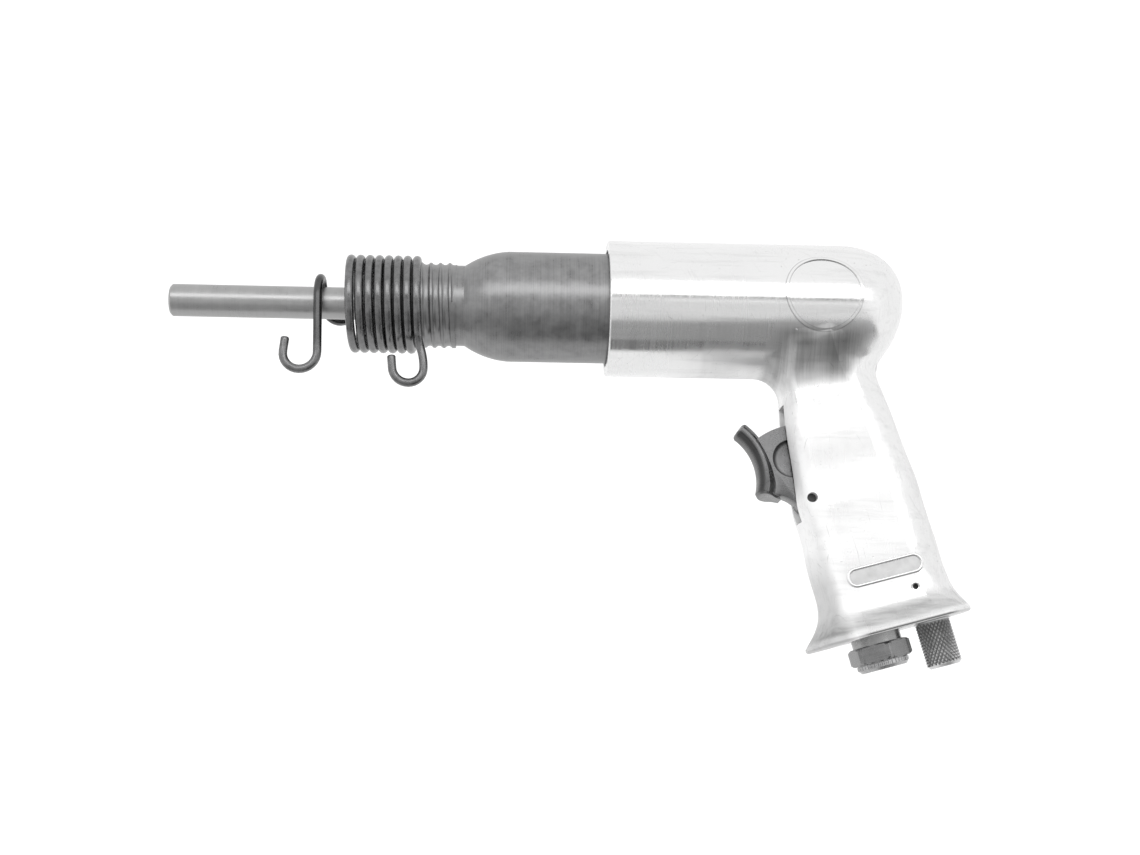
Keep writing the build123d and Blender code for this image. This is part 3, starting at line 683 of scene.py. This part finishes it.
def retainer_wire():
    """The whole retainer as one drawn wire with rounded ends."""
    near = -loop_radius
    down = Vector((0, 0, -1))
    over = Vector(y_axis)
    coil = (coil_front, coil_pitch, coil_radius)
    front_x = loop_x + front_hook_lead - front_hook_radius
    front_low = Vector((front_x - front_hook_radius, near, front_hook_depth)) * mm
    front_tip = front_low + Vector(front_tip_rise) * mm
    front_leg = Vector((front_x + front_hook_radius, near, front_hook_depth)) * mm
    loop_near = Vector((loop_x, near, 0)) * mm
    loop_top = Vector((loop_x, 0, loop_radius)) * mm
    loop_out = Vector((loop_x, loop_radius * cos(loop_exit), loop_radius * sin(loop_exit))) * mm
    out_way = Vector((0, sin(loop_exit), -cos(loop_exit)))
    leg_way = (loop_near - front_leg).normalized()
    coil_start = coil_point(coil_first_turn, *coil)
    coil_end = coil_point(coil_last_turn, *coil)
    start_way = coil_way(coil_first_turn, coil_pitch, coil_radius)
    end_way = coil_way(coil_last_turn, coil_pitch, coil_radius)
    rear_x = coil_end.x - rear_hook_lead * mm
    rear_y = coil_end.y + rear_hook_side * mm
    rear_leg = Vector((rear_x + rear_hook_radius * mm, rear_y, rear_hook_depth * mm))
    rear_low = Vector((rear_x - rear_hook_radius * mm, rear_y, rear_hook_depth * mm))
    rear_tip = rear_low + Vector(rear_tip_rise) * mm
    front_way = (front_low - front_tip).normalized()
    tip_way = (rear_tip - rear_low).normalized()

    bm = bmesh.new()
    first = wire_start(bm, front_tip, front_way, wire_radius, wire_sides)
    ring = draw_straight(bm, first, front_low - front_tip)
    ring = draw_arc_pair(bm, ring, front_low, front_way, front_leg, leg_way)
    ring = draw_straight(bm, ring, loop_near - front_leg, 12)
    ring = draw_arc_pair(bm, ring, loop_near, leg_way, loop_top, over)
    ring = draw_arc_pair(bm, ring, loop_top, over, loop_out, out_way)
    ring = draw_arc_pair(bm, ring, loop_out, out_way, coil_start, start_way)
    ring = draw_coil(bm, ring, coil_first_turn, coil_last_turn, *coil)
    ring = draw_arc_pair(bm, ring, coil_end, end_way, rear_leg, down)
    ring = draw_arc_pair(bm, ring, rear_leg, down, rear_low, tip_way)
    ring = draw_straight(bm, ring, rear_tip - rear_low)
    capped(bm, ring, tip_way, wire_end)
    capped(bm, first, -front_way, wire_end)
    sealed(bm)
    return finished_piece("retainer_wire", bm, "handle", "spring_steel", bore, ["retainer_spring"], 50)


# Throttle spring: a small coil that the ball presses together
throttle_wire_radius = 0.35
throttle_wire_sides = 12
throttle_front, throttle_end, throttle_turns, throttle_radius = 7.66, 13.05, 4, 2.8
throttle_height = 17


def throttle_coil():
    """The throttle's spring, built at one length; the real one shortens as the throttle slides."""
    pitch = (throttle_end - throttle_front) / throttle_turns
    coil = (throttle_front, pitch, throttle_radius)
    bm = bmesh.new()
    way = coil_way(0, pitch, throttle_radius)
    first = wire_start(bm, coil_point(0, *coil), way, throttle_wire_radius, throttle_wire_sides)
    last = draw_coil(bm, first, 0, throttle_turns, *coil)
    for ring in (first, last):
        bmesh.ops.contextual_create(bm, geom=ring)
    sealed(bm)
    place = grip @ Matrix.Translation((0, 0, throttle_height * mm))
    piece = finished_piece("throttle_coil", bm, "handle", "spring_steel", place, ["throttle_spring"], 50)
    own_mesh(piece)
    return piece


# Trigger: a finger bar with hollowed sides on a flat web, in millimetres about the pin
bar_share = 0.95
bar_tip = ((0.35, 0.94), (0.35, 0.87), (0.2, 0.8))
bar_foot = ((0.3, 1.05), (0.45, 1.03), (0.55, 0.97))
bar_foot_way = Vector((0.28, 0, -0.96))
bar_back = 1.9
heel_top, heel_run, heel_growth = 20, 12, 0.75
web_half = 3.5
web_low, web_arch, web_heel = (-8.9, 4.6), (-5.3, 2.75), (-3.0, 0)
web_rear = (2.9, 24.83)
web_top_turn = radians(-35)
web_bevel = 0.5
pin_hole_radius, pin_hole_depth = 1.6, 20
bar_steps, arch_steps, heel_steps, top_steps = 28, 12, 20, 24
dish_steps, pin_hole_sides = 72, 48


def finger_bar():
    """The bar's section drawn up along the arc of its front, with a rounded tip and a lip at the foot."""
    low, centre = place_of(bar_low), place_of(bar_centre)
    outward = (low - centre).normalized()
    turn = arc_turn(bar_centre, bar_low, bar_high) * bar_share
    # Half of the section: depth behind the front, and distance from the middle
    half = [(0, 1.6), (0.12, 3.4), (0.55, 4.9), (1.2, 5.9), (bar_back, 6.3), (2.5, 6.0)]
    half += [(2.9, 5.3), (3.15, 4.6), (3.5, 3.9), (3.9, 3.45), (4.6, 3.2)]
    section = half + [(depth, -side) for depth, side in reversed(half)]
    bm = bmesh.new()
    verts = [bm.verts.new(low + outward * depth * mm + Vector((0, side * mm, 0))) for depth, side in section]
    ring = [bm.edges.new(pair) for pair in zip(verts, verts[1:] + verts[:1])]
    last = edges_of(swept(bm, ring, centre, y_axis, turn, bar_steps))
    tip_way = (Matrix.Rotation(turn, 3, "Y") @ outward).cross(Vector(y_axis))
    capped(bm, last, tip_way, bar_tip)
    # The back of the bar grows deeper towards its heel
    front = (low - centre).length
    for vert in bm.verts:
        way = vert.co - centre
        way.y = 0
        depth = way.length - front
        if depth > bar_back * mm:
            share = min(1, max(0, (heel_top - vert.co.z / mm) / heel_run))
            way.length = front + bar_back * mm + (depth - bar_back * mm) * (1 + heel_growth * share**2)
            vert.co.x, vert.co.z = centre.x + way.x, centre.z + way.z
    capped(bm, ring, bar_foot_way, bar_foot, keep_x=True)
    bmesh.ops.recalc_face_normals(bm, faces=bm.faces)
    return bm


def trigger_web():
    """The flat web with its arched lower edge and its rounded top."""
    side = Vector((0, -web_half * mm, 0))
    bm = bmesh.new()
    first = bm.verts.new(place_of(web_low) + side)
    arc = arc_centre(web_low, web_arch, web_heel)
    arch_turn = arc_turn(arc, web_low, web_heel)
    here = first
    for centre, turn, steps in ((arc, arch_turn, arch_steps), ((0, 0), -pi, heel_steps)):
        here = verts_of(swept(bm, [here], place_of(centre), y_axis, turn, steps))[0]
    rear = bm.verts.new(place_of(web_rear) + side)
    bm.edges.new((here, rear))
    here = verts_of(swept(bm, [rear], (0, 0, 0), y_axis, web_top_turn, top_steps))[0]
    for point in ((-10.0, 15.0), (-10.0, 11.0), (-10.6, 7.0)):
        there = bm.verts.new(place_of(point) + side)
        bm.edges.new((here, there))
        here = there
    bm.edges.new((here, first))
    face = bmesh.ops.contextual_create(bm, geom=list(bm.edges))["faces"]
    grown = bmesh.ops.extrude_face_region(bm, geom=face)["geom"]
    bmesh.ops.translate(bm, verts=verts_of(grown), vec=(0, 2 * web_half * mm, 0))
    bmesh.ops.recalc_face_normals(bm, faces=bm.faces)
    arch_radius = (place_of(web_low) - place_of(arc)).length
    arch = {vert for vert in bm.verts if abs((vert.co - place_of(arc)).xz.length - arch_radius) < 1e-5}
    edges = [
        edge for edge in bm.edges
        if abs(edge.verts[0].co.y - edge.verts[1].co.y) < 1e-6 and all(vert in arch for vert in edge.verts)
    ]
    bmesh.ops.bevel(
        bm, geom=edges, offset=web_bevel * mm, affect="EDGES", segments=2, profile=0.5, material=-1
    )
    return bm


def trigger_cuts():
    """What is cut away: a dish with a sloping floor in each side, and the pin's hole."""
    dish = [(0, 2.6), (0.45, 2.6), (0.6, 2.85), (5.3, 2.75), (dish_radius, 2.9), (dish_radius, 5.0), (0, 5.0)]
    cuts = lathe(dish, dish_steps, True)
    bmesh.ops.rotate(cuts, cent=(0, 0, 0), matrix=Matrix.Rotation(quarter, 3, "X"), verts=cuts.verts)
    bmesh.ops.translate(cuts, verts=cuts.verts, vec=place_of(dish_place))
    whole = list(cuts.verts) + list(cuts.edges) + list(cuts.faces)
    other = bmesh.ops.duplicate(cuts, geom=whole)["geom"]
    bmesh.ops.scale(cuts, vec=(1, -1, 1), verts=verts_of(other))
    bmesh.ops.create_cone(
        cuts,
        cap_ends=True,
        segments=pin_hole_sides,
        radius1=pin_hole_radius * mm,
        radius2=pin_hole_radius * mm,
        depth=pin_hole_depth * mm,
        matrix=Matrix.Rotation(quarter, 4, "X"),
    )
    bmesh.ops.recalc_face_normals(cuts, faces=cuts.faces)
    return cuts


def trigger_lever():
    """Bar and web joined, then dished and drilled."""
    bar = added_object("bar_form", finger_bar())
    web = added_object("web_form", trigger_web())
    cuts = added_object("cut_form", trigger_cuts())
    for other, way in ((bar, "UNION"), (cuts, "DIFFERENCE")):
        step = web.modifiers.new(way.lower(), "BOOLEAN")
        step.object = other
        step.operation = way
        step.solver = "EXACT"
    whole = bmesh.new()
    whole.from_object(web, bpy.context.evaluated_depsgraph_get())
    for helper in (bar, web, cuts):
        mesh = helper.data
        bpy.data.objects.remove(helper)
        bpy.data.meshes.remove(mesh)
    bmesh.ops.remove_doubles(whole, verts=whole.verts, dist=2e-6)
    pivot = grip @ Matrix.Translation(place_of(pin_place))
    return finished_piece("trigger_lever", whole, "trigger", "trigger_steel", pivot, ["trigger"], 28)


# Regulator knob with a diamond knurl, in millimetres down the grip
knob_place = 10.2
spool_radius, crest_radius, knurl_depth = 5.6, 5.4, 0.5
spool_top, knob_top, knob_end = -16.0, -42.3, -56.1
knurl_top, knurl_end = knob_top - 0.35, knob_end + 0.95
knurl_rows, knurl_columns = 14, 52
end_dish = 0.35
centre_gap = 0.02


def knurled_knob():
    """Spool and knob turned in one, with every second crossing of the knurl raised."""
    step = (knurl_end - knurl_top) / knurl_rows
    points = [(centre_gap, spool_top), (spool_radius, spool_top), (spool_radius, knob_top)]
    points += [(crest_radius - 0.4, knob_top)]
    points += [(crest_radius - 0.15, knurl_top + step * row) for row in range(knurl_rows + 1)]
    points += [(crest_radius - 0.2, knurl_end - 0.12), (crest_radius - 0.92, knob_end)]
    points += [(crest_radius - 1.3, knob_end), (crest_radius - 1.7, knob_end + end_dish)]
    points += [(centre_gap, knob_end + end_dish)]
    bm = lathe(points, knurl_columns)
    level = bm.verts.layers.float.new("crest")
    for vert in bm.verts:
        vert[level] = 1
        row = (vert.co.z / mm - knurl_top) / step
        column = atan2(vert.co.y, vert.co.x) / (2 * pi / knurl_columns)
        flat = Vector((vert.co.x, vert.co.y, 0))
        on_rows = -0.05 < row < knurl_rows + 0.05
        if on_rows and crest_radius - 0.3 < flat.length / mm < crest_radius + 0.1:
            vert[level] = (round(row) + round(column)) % 2
            flat.length = (crest_radius - knurl_depth + knurl_depth * vert[level]) * mm
            vert.co.x, vert.co.y = flat.x, flat.y
    grooved = [face for face in bm.faces if knurl_end < face.calc_center_median().z / mm < knurl_top]
    bmesh.ops.triangulate(bm, faces=grooved, quad_method="SHORT_EDGE")
    bmesh.ops.translate(bm, verts=bm.verts, vec=(knob_place * mm, 0, 0))
    return finished_piece("knurled_knob", bm, "regulator", "knob_steel", grip, ["regulator_knob"], 12)


# Air inlet: hexagon, serrated ring and bored end, in millimetres down the grip
inlet_place = -8.2
hex_flats = 17.0
hex_corner = hex_flats / sqrt(3)
hex_turn = radians(-24.5)
hex_round_off = 0.13
hex_top, hex_foot, inlet_end = -44.6, -49.9, -52.29
screw_radius, screw_top = 6.6, -30.0
throat_radius, throat_end = 4.5, -38.8
inlet_bore = 5.7
lip_radius, rim_radius = 6.9, 7.7
ring_radius, ring_root, tooth_root = 8.0, 7.75, 7.68
hex_side = radians(60)
inlet_steps = 240
# A tooth and its gap take six steps, and these of them are the gap
tooth_steps, tooth_gap = 6, (2, 3, 4)


def inlet_fitting():
    """The fitting turned in one, with a hexagon and a ring of teeth cut from it."""
    points = [(inlet_bore, inlet_end), (lip_radius, inlet_end)]
    points += [(rim_radius, inlet_end + 0.9), (rim_radius, inlet_end + 1.0)]
    points += [(ring_radius, inlet_end + 1.05), (ring_radius, hex_foot - 0.25)]
    points += [(ring_root, hex_foot - 0.2), (ring_root, hex_foot), (hex_corner - 1.35, hex_foot)]
    points += [(hex_corner - 0.7, hex_foot + 0.3), (hex_corner + 0.1, hex_foot + 0.75)]
    points += [(hex_corner + 0.1, hex_top - 0.75), (hex_corner - 0.7, hex_top - 0.3)]
    points += [(hex_corner - 1.35, hex_top), (screw_radius, hex_top), (screw_radius, screw_top)]
    points += [(throat_radius, screw_top), (throat_radius, throat_end), (inlet_bore, throat_end)]
    bm = lathe(points, inlet_steps, True)
    for vert in bm.verts:
        flat = Vector((vert.co.x, vert.co.y, 0))
        height = vert.co.z / mm
        angle = atan2(flat.y, flat.x)
        outside = flat.length > ring_radius * mm
        if outside and hex_foot - 0.01 < height < hex_top + 0.01:
            side = (angle - hex_turn) % hex_side - hex_side / 2
            flat.length = min(flat.length, hex_flats / 2 * mm / cos(side), (hex_corner - hex_round_off) * mm)
        elif outside and inlet_end + 1.02 < height < hex_foot - 0.23:
            if round(angle / (2 * pi / inlet_steps)) % tooth_steps in tooth_gap:
                flat.length = tooth_root * mm
        vert.co.x, vert.co.y = flat.x, flat.y
    bmesh.ops.translate(bm, verts=bm.verts, vec=(inlet_place * mm, 0, 0))
    return finished_piece("inlet_fitting", bm, "handle", "fitting_steel", grip, ["inlet_bushing"], 20)


# Bare plaque and pin seat on the flat side of the grip, in millimetres
side_slope = 1.5 / 25.5
side_half, side_end = 14.5, 5.6
plaque_place = (-3.0, -24.3)
plaque_run, plaque_reach = 8.85, 2.55
plaque_bead = 0.52
plaque_sides, bead_sides, end_steps = 64, 16, 20
ground_height, ground_sink = 0.12, 0.04
seat_place = (4.3, -31.3)
seat_lift, seat_tip = 0.32, radians(9)
seat_steps = 40


def side_place(along, up):
    """A place on the grip's flat side, with Z straight out of it."""
    side = side_half - side_slope * (side_end - along)
    out = Vector((-side_slope, -1, 0)).normalized()
    ahead = Vector((1, -side_slope, 0)).normalized()
    turn = Matrix((ahead, out.cross(ahead), out)).transposed().to_4x4()
    return grip @ Matrix.Translation(Vector((along, -side, up)) * mm) @ turn


def plaque_rim():
    """A half round rim drawn round the plaque: two straights and two half turns."""
    bm = bmesh.new()
    corner = Vector((-plaque_run, -plaque_reach, 0)) * mm
    bead = bmesh.ops.create_circle(
        bm,
        cap_ends=False,
        segments=bead_sides,
        radius=plaque_bead * mm,
        matrix=Matrix.Translation(corner) @ Matrix.Rotation(quarter, 4, "Y"),
    )["verts"]
    ring = list({edge for vert in bead for edge in vert.link_edges})
    for side in (1, -1):
        ring = draw_straight(bm, ring, Vector((2 * side * plaque_run, 0, 0)) * mm, 4)
        ring = edges_of(swept(bm, ring, (side * plaque_run * mm, 0, 0), z_axis, pi, end_steps))
    sealed(bm)
    return finished_piece("plaque_rim", bm, "handle", "cast_aluminium", side_place(*plaque_place))


def plaque_ground():
    """The bare ground inside the rim, left as cast."""
    bm = bmesh.new()
    bmesh.ops.create_circle(bm, cap_ends=True, segments=plaque_sides, radius=plaque_reach * mm)
    half_side = Matrix.Rotation(pi / plaque_sides, 3, "Z")
    bmesh.ops.rotate(bm, cent=(0, 0, 0), matrix=half_side, verts=bm.verts)
    for side in (1, -1):
        half = [vert for vert in bm.verts if vert.co.x * side > 0]
        bmesh.ops.translate(bm, verts=half, vec=(side * plaque_run * mm, 0, 0))
    grown = bmesh.ops.extrude_face_region(bm, geom=list(bm.faces))["geom"]
    bmesh.ops.translate(bm, verts=verts_of(grown), vec=(0, 0, ground_height * mm))
    bmesh.ops.translate(bm, verts=bm.verts, vec=(0, 0, -ground_sink * mm))
    bmesh.ops.recalc_face_normals(bm, faces=bm.faces)
    place = side_place(*plaque_place)
    return finished_piece("plaque_ground", bm, "handle", "cast_aluminium", place, finish="cast_ground")


def pin_seat():
    """A spot face turned round the regulator pin's hole, on the start of the flare."""
    seat = [(0.86, -0.3), (0.86, 0.02), (1.05, 0.14), (1.35, 0.16), (1.6, 0.02), (1.65, -0.3)]
    bm = lathe(seat, seat_steps, True)
    tip = Matrix.Translation((0, 0, seat_lift * mm)) @ Matrix.Rotation(seat_tip, 4, "X")
    return finished_piece("pin_seat", bm, "handle", "cast_aluminium", side_place(*seat_place) @ tip)


retainer_wire()
throttle_coil()
trigger_lever()
plaque_rim()
plaque_ground()
pin_seat()
knurled_knob()
inlet_fitting()


# Stage: a pale floor that curves up behind the tool, in metres
floor_half, floor_level = 6, -0.3
floor_front, curve_start, curve_radius = -4.0, 2.2, 1.2
curve_steps = 24
wall_top = 6.0


def stage_piece(name, bm, colour, roughness, glow):
    """A piece of the stage in one colour that may glow."""
    piece = added_object(name, bm)
    piece.data.shade_smooth()
    material, _, shader = start_finish(name + "_finish", colour, 0.0, roughness)
    shader.inputs["Emission Color"].default_value = (1, 1, 1, 1)
    shader.inputs["Emission Strength"].default_value = glow
    piece.data.materials.append(material)
    return piece


def sweep_floor():
    """The floor and the wall behind it, with a curve between them."""
    bm = bmesh.new()
    verts = [bm.verts.new((-floor_half, y, floor_level)) for y in (floor_front, curve_start)]
    bm.edges.new(verts)
    centre = (-floor_half, curve_start, floor_level + curve_radius)
    last = verts_of(swept(bm, [verts[1]], centre, (1, 0, 0), quarter, curve_steps))[0]
    top = bm.verts.new((last.co.x, last.co.y, wall_top))
    bm.edges.new((last, top))
    sides = bmesh.ops.extrude_edge_only(bm, edges=list(bm.edges))["geom"]
    bmesh.ops.translate(bm, verts=verts_of(sides), vec=(2 * floor_half, 0, 0))
    floor = stage_piece("pale_floor", bm, (0.9, 0.9, 0.9), 0.8, 0.22)
    floor.visible_glossy = False
    return floor


def card(name, low, high, glow):
    """A flat card of an even grey that shows only in reflections."""
    bm = bmesh.new()
    bmesh.ops.create_grid(bm, x_segments=1, y_segments=1, size=0.5)
    low, high = Vector(low), Vector(high)
    span = high - low
    if span.z == 0:
        bmesh.ops.scale(bm, vec=(span.x, span.y, 1), verts=bm.verts)
    else:
        bmesh.ops.rotate(bm, cent=(0, 0, 0), matrix=Matrix.Rotation(quarter, 3, "X"), verts=bm.verts)
        bmesh.ops.scale(bm, vec=(span.x, 1, span.z), verts=bm.verts)
    bmesh.ops.translate(bm, vec=(low + high) / 2, verts=bm.verts)
    piece = stage_piece(name, bm, (0, 0, 0), 1.0, glow)
    piece.visible_camera = False
    piece.visible_diffuse = False
    piece.visible_shadow = False
    return piece


sweep_floor()

# Cards that lie under the tool, from left to right and from the front to the back
under = -0.28
left, handle_left, handle_right, right = -1.0, -0.085, 0.07, 0.8
outer_front, front, middle, tool_edge, back = -0.62, -0.49, -0.14, -0.012, 0.9
card("dark_card_left", (left, front, under), (handle_left, tool_edge, under), 0.46)
card("dark_card", (handle_left, front, under), (handle_right, middle, under), 0.25)
card("dark_card_near", (handle_left, middle, under), (handle_right, tool_edge, under), 0.08)
card("dark_card_right", (handle_right, outer_front, under), (right, tool_edge, under), 0.22)
card("table_card", (left, tool_edge, under), (right, back, under), 0.88)

# Cards that stand in front of the tool, and one at their foot
wall_left, wall_right, wall_place = -1.4, 1.2, -1.6
wall_split, white_top = 0.03, 0.34
foot_level, foot_back = -0.281, -0.47
card("front_card", (wall_left, wall_place, foot_level), (wall_right, foot_back, foot_level), 0.68)
card("wall_card", (wall_left, wall_place, under), (wall_right, wall_place, wall_split), 0.68)
card("white_card", (wall_left, wall_place, wall_split), (wall_right, wall_place, white_top), 1.06)

# Two thin strips that draw the lines along the sleeve
strip_left, strip_right, strip_place = -0.3, 0.05, -0.1
strip_low, strip_split, strip_high = 0.0585, 0.065, 0.0705
card("grey_strip", (strip_left, strip_place, strip_low), (strip_right, strip_place, strip_split), 0.68)
card("dark_strip", (strip_left, strip_place, strip_split), (strip_right, strip_place, strip_high), 0.15)


# Light: white surroundings and one long soft box
def soft_box(name, place, aim, width, height, power):
    """A rectangular lamp that the camera does not see."""
    data = bpy.data.lights.new(name, "AREA")
    data.shape = "RECTANGLE"
    data.size = width
    data.size_y = height
    data.energy = power
    lamp = bpy.data.objects.new(name, data)
    scene.collection.objects.link(lamp)
    way = Vector(aim) - Vector(place)
    lamp.matrix_world = Matrix.Translation(place) @ way.to_track_quat("-Z", "Y").to_matrix().to_4x4()
    lamp.visible_camera = False
    return lamp


soft_box("front_soft_box", (-0.1, -1.0, 0.44), (-0.1, 0, 0.06), width=1.8, height=0.38, power=3.4)

world = bpy.data.worlds.new("white_room")
scene.world = world
world.use_nodes = True
background = world.node_tree.nodes["Background"]
background.inputs["Color"].default_value = (1, 1, 1, 1)
background.inputs["Strength"].default_value = 0.95
scene.view_settings.view_transform = "Standard"

# Camera, fitted to the photograph's view, with its focal length in the photograph's pixels
photo_width, focal_length = 1140, 1538.84
sensor_width = 36
camera_roll = radians(0.525)
eye = Vector((-0.10936, -0.470, -0.08384))
target = Vector((-0.09114, 0, 0.02103))
camera_data = bpy.data.cameras.new("camera")
camera_data.sensor_fit = "HORIZONTAL"
camera_data.sensor_width = sensor_width
camera_data.lens = focal_length / photo_width * sensor_width
camera = bpy.data.objects.new("camera", camera_data)
scene.collection.objects.link(camera)
gaze = (target - eye).to_track_quat("-Z", "Y").to_matrix().to_4x4()
camera.matrix_world = Matrix.Translation(eye) @ gaze @ Matrix.Rotation(camera_roll, 4, "Z")
scene.camera = camera
